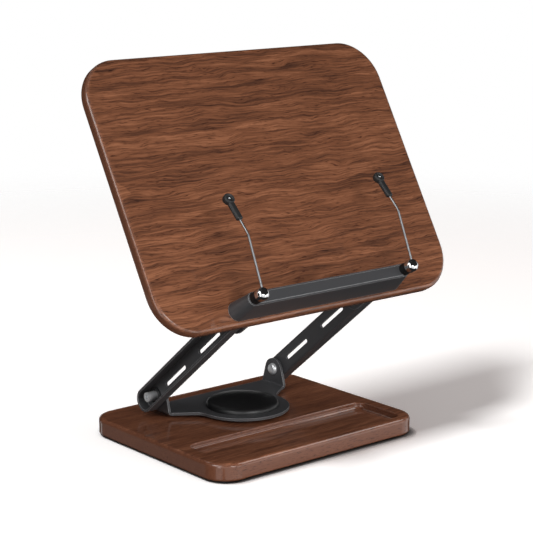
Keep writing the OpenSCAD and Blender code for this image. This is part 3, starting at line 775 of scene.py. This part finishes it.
@dataclass
class Studio:
    """The pale floor, the white surroundings, the lamps, the cards and the camera."""

    nodes: dict[str, Object]
    picture_px: float = 533.0
    focal_px: float = 1720.3
    sensor_mm: float = 36.0
    view_reach: float = 50.0
    azimuth: float = -39.909
    elevation: float = 12.459
    roll: float = 0.115
    eye: Vector = field(default_factory=lambda: Vector((-0.9880, -1.2164, 0.5041)))
    target: Vector = field(default_factory=lambda: Vector((0.0, -0.03, 0.16)))
    floor_r: float = 2.4
    floor_facets: int = 96
    fade_start: float = 0.75
    fade_end: float = 1.6
    floor_colour: str = "#f9f8f7"
    bounce_colour: str = "#aaa7a4"
    floor_gain: float = 1.27
    # The floor's painted contact shade: its reach, the side it opens to and its gamma.
    nook_shade: float = 9 * MM
    nook_shade_side: tuple[float, float] = (-0.96, 0.28)
    nook_shade_gamma: float = 3.0
    fill: float = 0.25
    lamps: list[SoftBox] = field(default_factory=lambda: [
        SoftBox("front_box", -5, 22, 4.0, 1.6, 1.4, 66.0),
        SoftBox("key_box", -15, -6, 0.9, 0.3, 0.2, 2.6, glossy=False),
        SoftBox("left_box", -85, 35, 2.0, 0.8, 0.8, 13.0),
        SoftBox("top_box", -60, 78, 4.0, 1.6, 1.6, 35.0),
    ])
    base_lamps: list[SoftBox] = field(default_factory=lambda: [
        SoftBox("edge_box", 64, 44, 1.3, 0.9, 0.6, 6.0),
    ])
    back_lamps: list[SoftBox] = field(default_factory=lambda: [
        SoftBox("back_box", 180, -5, 1.0, 0.6, 0.3, 1.8, glossy=False),
    ])
    floor_lamps: list[SoftBox] = field(default_factory=lambda: [
        SoftBox("shadow_box", -90, 57, 4.0, 0.9, 0.9, 122.0),
        SoftBox("floor_fill_box", 45, 40, 4.0, 3.0, 3.0, 36.0, "#ffeae6"),
    ])
    cards: list[Card] = field(default_factory=lambda: [
        Card("rear_flag", 140, 22, 4.5, 1.9, 0.004, 2.0),
        Card("left_flag", -150, 8, 3.2, 3.2, distance=2.0),
        Card("side_flag", -95, 10, 1.4, 3.0, distance=2.0),
        Card("crown_flag", 115, 52, 2.2, 1.4, distance=2.0),
        Card("front_flag", -15, 36, 2.0, 1.2, distance=2.0),
        Card("board_flag", 48, 40, 2.4, 2.0, distance=2.0),
        Card("under_flag", 0, -90, 2.4, 2.4, distance=0.66),
        Card("left_card", -62, 12, 0.35, 2.2, 3.8),
        Card("right_card", 18, -8, 0.3, 0.9, 2.5),
        Card("tray_card", 42, 2, 0.9, 0.9, 1.8),
        Card("roof_flag", 0, 90, 3.0, 3.0, distance=2.0),
        Card("low_flag", 115, -18, 1.2, 0.8, distance=1.5, aim=(0.11, -0.11, 0.01)),
        Card("left_glow", -146, -18, 0.9, 0.5, 0.2, 1.2, (-0.12, 0.0, 0.01)),
        Card("rim_card", -163, -18, 0.15, 0.5, 1.6, 1.0, (-0.11, 0.07, 0.01)),
    ])

    def seen_directly(self, tree: Tree) -> Socket:
        """Tells rays that show the background from rays that only carry light.

        Args:
            tree: the node tree to add to.

        Returns:
            1 for camera, glossy and transmission rays, and 0 for the rest.
        """
        path = add_node(tree, "ShaderNodeLightPath").outputs
        pair = add_node(tree, "ShaderNodeMath", {"operation": "MAXIMUM"}, {
            0: path["Is Camera Ray"], 1: path["Is Glossy Ray"],
        })
        return add_node(tree, "ShaderNodeMath", {"operation": "MAXIMUM"}, {
            0: pair.outputs[0], 1: path["Is Transmission Ray"],
        }).outputs[0]

    def surround(self) -> None:
        """Sets white surroundings that light the stand only a little."""
        world = bpy.data.worlds.new("studio")
        world.use_nodes = True
        tree = world.node_tree
        tree.nodes.clear()
        strength = add_node(tree, "ShaderNodeMapRange", None, {
            "Value": self.seen_directly(tree), "To Min": self.fill, "To Max": 1.0,
        })
        background = add_node(tree, "ShaderNodeBackground", None, {
            "Color": (1.0, 1.0, 1.0, 1.0), "Strength": strength.outputs[0],
        })
        add_node(tree, "ShaderNodeOutputWorld", inputs={"Surface": background.outputs[0]})
        bpy.context.scene.world = world

    def paper(self) -> Material:
        """Builds the floor's matt paper, which has no shine, has painted contact shade in the nooks by the
        stand and fades out at its rim.

        Returns:
            The paper.
        """
        material, tree = new_material("matt_white_paper")
        place = add_node(tree, "ShaderNodeTexCoord").outputs["Object"]
        reach = add_node(tree, "ShaderNodeVectorMath", {"operation": "LENGTH"}, {0: place})
        fade = add_node(tree, "ShaderNodeMapRange", {"interpolation_type": "SMOOTHSTEP"}, {
            "Value": reach.outputs["Value"], "From Min": self.fade_start, "From Max": self.fade_end,
        })
        bright = [self.floor_gain * c for c in linear(self.floor_colour)]
        colour = add_node(tree, "ShaderNodeMix", {"data_type": "RGBA"}, {
            FACTOR: self.seen_directly(tree), FIRST: linear(self.bounce_colour), SECOND: bright,
        })
        # Painted contact shade: ambient occlusion about a normal tipped open to the left darkens the floor
        # under and beside the base, least on its left.
        aside, up = self.nook_shade_side
        open_side = add_node(tree, "ShaderNodeCombineXYZ", None, {"X": aside, "Z": up})
        nook_shade = add_node(tree, "ShaderNodeAmbientOcclusion", None, {
            "Color": colour.outputs[MIXED], "Distance": self.nook_shade, "Normal": open_side.outputs[0],
        })
        dark = add_node(tree, "ShaderNodeGamma", None, {
            "Color": nook_shade.outputs["AO"], "Gamma": self.nook_shade_gamma,
        })
        shaded = add_node(tree, "ShaderNodeMix", {"data_type": "RGBA", "blend_type": "MULTIPLY"}, {
            FACTOR: 1.0, FIRST: colour.outputs[MIXED], SECOND: dark.outputs[0],
        })
        matt = add_node(tree, "ShaderNodeBsdfDiffuse", None, {"Color": shaded.outputs[MIXED]})
        clear = add_node(tree, "ShaderNodeBsdfTransparent")
        mixed = add_node(tree, "ShaderNodeMixShader", None, {
            0: fade.outputs[0], 1: matt.outputs[0], 2: clear.outputs[0],
        })
        add_node(tree, "ShaderNodeOutputMaterial", None, {"Surface": mixed.outputs[0]})
        return material

    def floor(self) -> Object:
        """Lays a pale floor that fades into the surroundings.

        Returns:
            The floor's object.
        """
        mesh = bpy.data.meshes.new("floor")
        sheet = bmesh.new()
        bmesh.ops.create_circle(sheet, cap_ends=True, segments=self.floor_facets, radius=self.floor_r)
        sheet.to_mesh(mesh)
        sheet.free()
        mesh.materials.append(self.paper())
        obj = new_object("floor", mesh)
        obj.visible_glossy = False
        return obj

    def light(self, floor: Object) -> None:
        """Hangs the lamps: some light only the floor, the base or the board, and the rest only the stand.

        Args:
            floor: the floor's object.
        """
        base = [self.nodes["base_board"]]
        back = [self.nodes["reading_board"], self.nodes["board_bracket"]]
        plans = (
            ("floor_only", Reach.ONLY_THESE, [floor], self.floor_lamps),
            ("base_only", Reach.ONLY_THESE, base, self.base_lamps),
            ("board_only", Reach.ONLY_THESE, back, self.back_lamps),
            ("stand_only", Reach.ALL_BUT_THESE, [floor], self.lamps),
        )
        for name, state, receivers, lamps in plans:
            reach = bpy.data.collections.new(name)
            for receiver in receivers:
                reach.objects.link(receiver)
            for link in reach.collection_objects:
                link.light_linking.link_state = state.value
            for lamp in lamps:
                lamp.light(self.target).light_linking.receiver_collection = reach

    def camera(self) -> None:
        """Places the camera where the photograph was taken from."""
        side, roll = math.radians(self.azimuth), math.radians(self.roll)
        back = heading(self.azimuth, self.elevation)
        level = Vector((math.cos(side), math.sin(side), 0.0))
        upright = back.cross(level)
        right = math.cos(roll) * level + math.sin(roll) * upright
        up = math.cos(roll) * upright - math.sin(roll) * level
        lens = bpy.data.cameras.new("camera")
        lens.sensor_width = self.sensor_mm
        lens.lens = self.focal_px / self.picture_px * self.sensor_mm
        lens.clip_end = self.view_reach
        obj = new_object("camera", lens)
        turn = Matrix((right, up, back)).transposed()
        obj.matrix_world = Matrix.Translation(self.eye) @ turn.to_4x4()
        bpy.context.scene.camera = obj

    def build(self) -> None:
        """Sets up the whole studio."""
        self.surround()
        self.light(self.floor())
        for card in self.cards:
            card.hang(self.target)
        self.camera()
        bpy.context.scene.view_settings.view_transform = "Standard"
        log.info("set up the studio")


@dataclass
class PageClip:
    """One page clip's soft tip: a dished head with a bright pin, and a ribbed bar on the wire's end."""

    side: Side
    frame: dict[str, Any]
    lean: float
    # The tip runs in towards the board by 10 mm over 35 mm.
    dip: float = math.atan2(10.0, 35.0)
    head_r: float = 5.25 * MM
    head_t: float = 6.0 * MM
    dish_cut: float = 0.9 * MM
    # The head's outline, as shares of its radius and of half its thickness.
    head_outline: tuple[tuple[float, float], ...] = (
        (0.0, -1.0), (0.72, -1.0), (0.92, -0.78), (1.0, -0.35),
        (1.0, 0.3), (0.95, 0.72), (0.84, 0.95), (0.74, 1.0), (0.66, 0.95),
    )
    # The dish's outline, as shares of the head's radius and of the dish's depth above its floor.
    dish_outline: tuple[tuple[float, float], ...] = ((0.58, 0.2), (0.45, 0.0), (0.0, 0.0))
    bar_w: float = 6.2 * MM
    bar_t: float = 4.6 * MM
    bar_length: float = 22.0 * MM
    pin_r: float = 1.15 * MM
    pin_sunk: float = 0.2 * MM
    pin_rise: float = 0.8
    pin_facets: int = 24
    pin_steps: tuple[float, ...] = (0.0, 0.4, 0.8, 1.2)
    rib_count: int = 8
    rib_pitch: float = 1.9 * MM
    rib_t: float = 1.0 * MM
    rib_w: float = 7.4 * MM
    rib_depth: float = 0.9
    rib_facets: int = 20

    def place(self) -> Matrix:
        """Finds the tip's own frame, with Y along the bar to the head and Z off the board.

        Returns:
            The frame, with its origin in the head's middle.
        """
        mesh = self.frame["nodes"][f"{self.side}_clip_tip"].data
        angle = self.lean - self.dip
        along = Vector((0.0, math.cos(angle), math.sin(angle)))
        out = Vector((0.0, -math.sin(angle), math.cos(angle)))
        far = max(v.co.dot(along) for v in mesh.vertices)
        heights = [v.co.dot(out) for v in mesh.vertices]
        sides = [v.co.x for v in mesh.vertices]
        middle = along * (far - self.head_r) + out * (min(heights) + max(heights)) / 2
        middle.x = (min(sides) + max(sides)) / 2
        turn = Matrix((Vector((1.0, 0.0, 0.0)), along, out)).transposed()
        return Matrix.Translation(middle) @ turn.to_4x4()

    def head(self) -> Shape:
        """Makes the round head, with a raised rim about a dish in its outer face.

        Returns:
            The head.
        """
        half = self.head_t / 2
        low = half - self.dish_cut
        body = [(r * self.head_r, h * half) for r, h in self.head_outline]
        dish = [(r * self.head_r, low + h * self.dish_cut) for r, h in self.dish_outline]
        return lathe(body + dish)

    def pin(self) -> Shape:
        """Makes the domed pin in the middle of the dish.

        Returns:
            The pin.
        """
        low = self.head_t / 2 - self.dish_cut
        foot = low - self.pin_sunk
        r = self.pin_r
        dome = [(r * math.cos(a), low + self.pin_rise * r * math.sin(a)) for a in self.pin_steps]
        return lathe([(0.0, foot), (r, foot)] + dome + [(0.0, low + self.pin_rise * r)], self.pin_facets)

    def ribs(self, material: Material, place: Matrix) -> Object:
        """Grows the row of ribs across the bar.

        Args:
            material: what the ribs are made of.
            place: the tip's own frame.

        Returns:
            The ribs as one object.
        """
        tree, given = new_tree(f"{self.side}_rib_row", {
            "Count": "Int", "Start": "Vector", "Pitch": "Vector", "Rib Size": "Vector", "Rib Facets": "Int",
            "Material": "Material",
        })
        row = add_node(tree, "GeometryNodeMeshLine", None, {
            "Count": given["Count"], "Start Location": given["Start"], "Offset": given["Pitch"],
        })
        rod = add_node(tree, "GeometryNodeMeshCylinder", None, {
            "Vertices": given["Rib Facets"], "Radius": 0.5, "Depth": 1.0,
        })
        ribs = add_node(tree, "GeometryNodeInstanceOnPoints", None, {
            "Points": row.outputs[0], "Instance": rod.outputs["Mesh"],
            "Rotation": (math.pi / 2, 0.0, 0.0), "Scale": given["Rib Size"],
        })
        end_tree(tree, ribs.outputs[0], given["Material"])
        obj = grow(f"{self.side}_tip_ribs", tree, {
            "Count": self.rib_count,
            "Start": (0.0, self.rib_pitch - self.bar_length, 0.0),
            "Pitch": (0.0, self.rib_pitch, 0.0),
            "Rib Size": (self.rib_w, self.bar_t * self.rib_depth, self.rib_t),
            "Rib Facets": self.rib_facets,
            "Material": material,
        })
        obj.data.transform(place)
        return obj

    def build(self, rubber: Material, steel: Material) -> None:
        """Builds the tip in place of its plain solid.

        Args:
            rubber: what the head, bar and ribs are made of.
            steel: what the pin is made of.
        """
        place = self.place()
        body = f"{self.side}_clip"
        bar = rounded_bar(self.bar_w, self.bar_length, self.bar_t)
        tip = show(f"{self.side}_soft_tip", [self.head(), bar], rubber, place)
        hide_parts(f"{self.side}_clip_tip")
        pin = show(f"{self.side}_tip_pin", [self.pin()], steel, place)
        ribs = self.ribs(rubber, place)
        for obj, slot in ((tip, "black_rubber"), (pin, "bright_steel"), (ribs, "black_rubber")):
            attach(obj, body)
            log.info("built %s", obj.name)


@dataclass
class BoardScrews:
    """The wood screws behind the board, with domed heads and cross recesses."""

    frame: dict[str, Any]
    lean: float
    nodes: tuple[str, ...] = ("bracket_screws", "ledge_screws")
    head_r: float = 3.75 * MM
    head_h: float = 2.4 * MM
    head_rise: float = 1.5 * MM
    head_facets: int = 44
    dome_rings: int = 6
    recess_length: float = 4.2 * MM
    recess_width: float = 0.95 * MM
    recess_depth: float = 1.5 * MM
    shank_r: float = 2.0 * MM
    shank_length: float = 10.0 * MM
    shank_facets: int = 24

    def tops(self, node: str) -> list[Vector]:
        """Finds the middle of each screw's head, where it meets the metal or the wood.

        Args:
            node: a node that holds several screws side by side.

        Returns:
            One point for each screw.
        """
        back = Vector((0.0, math.sin(self.lean), -math.cos(self.lean)))
        up = Vector((0.0, math.cos(self.lean), math.sin(self.lean)))
        points = sorted((v.co for v in self.frame["nodes"][node].data.vertices), key=lambda p: p.x)
        groups = [[points[0]]]
        for near, far in zip(points, points[1:]):
            if far.x - near.x > self.head_r:
                groups.append([])
            groups[-1].append(far)
        tops = []
        for group in groups:
            aside = Vector(((group[0].x + group[-1].x) / 2, 0.0, 0.0))
            heights = [p.dot(up) for p in group]
            top = max(p.dot(back) for p in group)
            tops.append(aside + up * (min(heights) + max(heights)) / 2 + back * (top - self.head_h))
        return tops

    def dome_drop(self, tree: Tree, curve: Socket) -> Socket:
        """Works out how far each point of a flat head's upper face drops to make it a dome.

        Args:
            tree: the Geometry Nodes tree to add to.
            curve: the offset for each unit of the squared distance from the axis.

        Returns:
            The offset of each point.
        """
        place = add_node(tree, "GeometryNodeInputPosition").outputs[0]
        level = add_node(tree, "ShaderNodeVectorMath", {"operation": "MULTIPLY"}, {
            0: place, 1: (1.0, 1.0, 0.0),
        })
        square = add_node(tree, "ShaderNodeVectorMath", {"operation": "DOT_PRODUCT"}, {
            0: level.outputs[0], 1: level.outputs[0],
        })
        upper = add_node(tree, "ShaderNodeMath", {"operation": "GREATER_THAN"}, {
            0: add_node(tree, "ShaderNodeSeparateXYZ", None, {0: place}).outputs["Z"], 1: 0.0,
        })
        moved = add_node(tree, "ShaderNodeMath", {"operation": "MULTIPLY"}, {
            0: square.outputs["Value"], 1: upper.outputs[0],
        })
        drop = add_node(tree, "ShaderNodeMath", {"operation": "MULTIPLY"}, {0: moved.outputs[0], 1: curve})
        return add_node(tree, "ShaderNodeCombineXYZ", None, {"Z": drop.outputs[0]}).outputs[0]

    def tree(self) -> Tree:
        """Builds the Geometry Nodes tree that sets one screw on each point.

        Returns:
            The tree.
        """
        tree, given = new_tree("wood_screws", {
            "Points": "Object", "Turn": "Rotation", "Material": "Material",
            "Head Facets": "Int", "Dome Rings": "Int", "Head Radius": "Float", "Head Height": "Float",
            "Head Seat": "Vector", "Dome Curve": "Float", "Slot": "Vector", "Cross Slot": "Vector",
            "Slot Seat": "Vector", "Shank Facets": "Int", "Shank Radius": "Float", "Shank Length": "Float",
            "Shank Seat": "Vector",
        })
        disc = add_node(tree, "GeometryNodeMeshCylinder", None, {
            "Vertices": given["Head Facets"], "Fill Segments": given["Dome Rings"],
            "Radius": given["Head Radius"], "Depth": given["Head Height"],
        })
        head = add_node(tree, "GeometryNodeSetPosition", None, {
            "Geometry": disc.outputs["Mesh"], "Offset": self.dome_drop(tree, given["Dome Curve"]),
        })
        seated = add_node(tree, "GeometryNodeTransform", None, {
            "Geometry": head.outputs[0], "Translation": given["Head Seat"],
        })
        cut = add_node(tree, "GeometryNodeMeshBoolean", {"operation": "DIFFERENCE", "solver": "MANIFOLD"}, {
            0: seated.outputs[0],
        })
        for size in (given["Slot"], given["Cross Slot"]):
            slot = add_node(tree, "GeometryNodeMeshCube", None, {"Size": size})
            slot = add_node(tree, "GeometryNodeTransform", None, {
                "Geometry": slot.outputs["Mesh"], "Translation": given["Slot Seat"],
            })
            tree.links.new(slot.outputs[0], cut.inputs[1])
        shank = add_node(tree, "GeometryNodeMeshCylinder", None, {
            "Vertices": given["Shank Facets"],
            "Radius": given["Shank Radius"],
            "Depth": given["Shank Length"],
        })
        shank = add_node(tree, "GeometryNodeTransform", None, {
            "Geometry": shank.outputs["Mesh"], "Translation": given["Shank Seat"],
        })
        screw = add_node(tree, "GeometryNodeJoinGeometry")
        tree.links.new(cut.outputs[0], screw.inputs[0])
        tree.links.new(shank.outputs[0], screw.inputs[0])
        points = add_node(tree, "GeometryNodeObjectInfo", None, {"Object": given["Points"]})
        screws = add_node(tree, "GeometryNodeInstanceOnPoints", None, {
            "Points": points.outputs["Geometry"], "Instance": screw.outputs[0], "Rotation": given["Turn"],
        })
        end_tree(tree, screws.outputs[0], given["Material"])
        return tree

    def build(self, steel: Material) -> None:
        """Builds the screws in place of their plain solids.

        Args:
            steel: what the screws are made of.
        """
        marks = bpy.data.meshes.new("screw_marks")
        marks.from_pydata([tuple(p) for node in self.nodes for p in self.tops(node)], [], [])
        points = bpy.data.objects.new("screw_marks", marks)
        slot_height = 2 * self.recess_depth
        screws = grow("board_screws", self.tree(), {
            "Points": points, "Turn": (self.lean + math.pi, 0.0, 0.0), "Material": steel,
            "Head Facets": self.head_facets, "Dome Rings": self.dome_rings,
            "Head Radius": self.head_r, "Head Height": self.head_h,
            "Head Seat": (0.0, 0.0, self.head_h / 2),
            "Dome Curve": -self.head_rise / self.head_r ** 2,
            "Slot": (self.recess_length, self.recess_width, slot_height),
            "Cross Slot": (self.recess_width, self.recess_length, slot_height),
            "Slot Seat": (0.0, 0.0, self.head_h),
            "Shank Facets": self.shank_facets, "Shank Radius": self.shank_r,
            "Shank Length": self.shank_length, "Shank Seat": (0.0, 0.0, -self.shank_length / 2),
        })
        bpy.data.objects.remove(points)
        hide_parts(*self.nodes)
        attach(screws, "board")
        log.info("built %s", screws.name)


@dataclass
class Stand:
    """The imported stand: its nodes, their finishes and the board's lean."""

    frame: dict[str, Any]
    pivot_hardware: tuple[str, ...] = (
        "lower_pivot_nuts", "upper_pivot_nuts", "left_lower_bolt", "right_lower_bolt",
        "left_upper_bolt", "right_upper_bolt",
    )

    def lean(self) -> float:
        """Gives the board's angle above level, from the axis that the page clips slide along."""
        axis = next(j["axis"] for j in self.frame["joints"] if j["name"] == "left_clip_pull")
        return math.atan2(-axis[1], axis[2])

    def middle(self, node: str) -> Vector:
        """Gives the middle of a node's box."""
        low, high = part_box(node)
        return (low + high) / 2

    def slot_finishes(self) -> dict[str, Material]:
        """Builds one material for each of the record's slots, apart from the wood.

        Returns:
            The materials by slot.
        """
        return {
            # Plates and arms: a soft, broad shine, and pale highlight lines painted along the edges.
            "black_steel": PowderCoat("satin_black_powder_coat", "#404042", "#a2a2a4", 0.42).material(),
            # Ledge: a shade darker and smoother, with a clear pale highlight line painted along its edges.
            "charcoal_metal": PowderCoat(
                "charcoal_powder_coat", "#3a3a3c", "#c8c8ca", 0.40, edge_width=1.2 * MM,
            ).material(),
            # Dome cap: near black and smooth, with soft highlights.
            "gloss_black": Moulded("semi_gloss_black_abs", "#161617", 0.40, 2.0 * MM, 0.004 * MM).material(),
            # Clip stems: black, with a waxy sheen on the ribs.
            "black_plastic": Moulded("matt_black_acetal", "#141415", 0.42).material(),
            # Feet, pad, rings and tips: black and dull.
            "black_rubber": Moulded(
                "moulded_black_rubber", "#1a1a1a", 0.55, 0.5 * MM, 0.05 * MM,
            ).material(),
            # Bushes and washers: black, with a faint sheen.
            "black_nylon": Moulded("black_nylon", "#1c1c1d", 0.48).material(),
            # Screws, pins and the swivel's bolt: a bright, slightly soft mirror.
            "bright_steel": BareMetal("bright_zinc_plate", "#c8cacc", 0.20).material(),
            # Clip knobs: a sharp mirror.
            "chrome": BareMetal("polished_chrome", "#dcdddf", 0.04, spread=0.03).material(),
        }

    def node_finishes(self) -> dict[str, Material]:
        """Builds the materials of nodes that differ from their slot: the wood, the pivots and the wires.

        Returns:
            The materials by node.
        """
        base = LacqueredWalnut(
            "lacquered_walnut_base", self.middle("base_board"), 0.0,
            dark="#43251a", middle="#72452f", light="#946045", end_grain="#6c412d",
        )
        board = LacqueredWalnut(
            # Painted shade: the board's wood is made darker towards its top.
            "lacquered_walnut_board", self.middle("reading_board"), self.lean(), shade_slope=-0.35,
        )
        # Pivot bolts and nuts: pale and silky, with no sharp reflections.
        nickel = BareMetal("satin_nickel_plate", "#dcdee0", 0.28, metallic=0.65).material()
        # Clip wires: a plain mid grey with a soft shine along the wire.
        drawn = BareMetal("drawn_spring_steel", "#8f9193", 0.3).material()
        return {
            "base_board": base.material(),
            "reading_board": board.material(),
            **{node: nickel for node in self.pivot_hardware},
            **{f"{side}_clip_wire": drawn for side in Side},
        }

    def dress(self) -> dict[str, Material]:
        """Gives every node its finish.

        Returns:
            The materials by slot, for the pieces that are built later.
        """
        by_slot = self.slot_finishes()
        by_node = self.node_finishes()
        for part in self.frame["record"]["subparts"]:
            node = part["node"]
            materials = self.frame["nodes"][node].data.materials
            materials.clear()
            materials.append(by_node.get(node) or by_slot[part["material_slot"]])
            log.info("dressed %s", node)
        return by_slot


def main() -> None:
    """Loads the frame, dresses it, builds the fine pieces and lights them."""
    logging.basicConfig(level=logging.INFO)
    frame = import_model()
    stand = Stand(frame)
    finishes = stand.dress()
    lean = stand.lean()
    for side in Side:
        PageClip(side, frame, lean).build(finishes["black_rubber"], finishes["bright_steel"])
    BoardScrews(frame, lean).build(finishes["bright_steel"])
    Studio(frame["nodes"]).build()


if __name__ == "__main__":
    main()
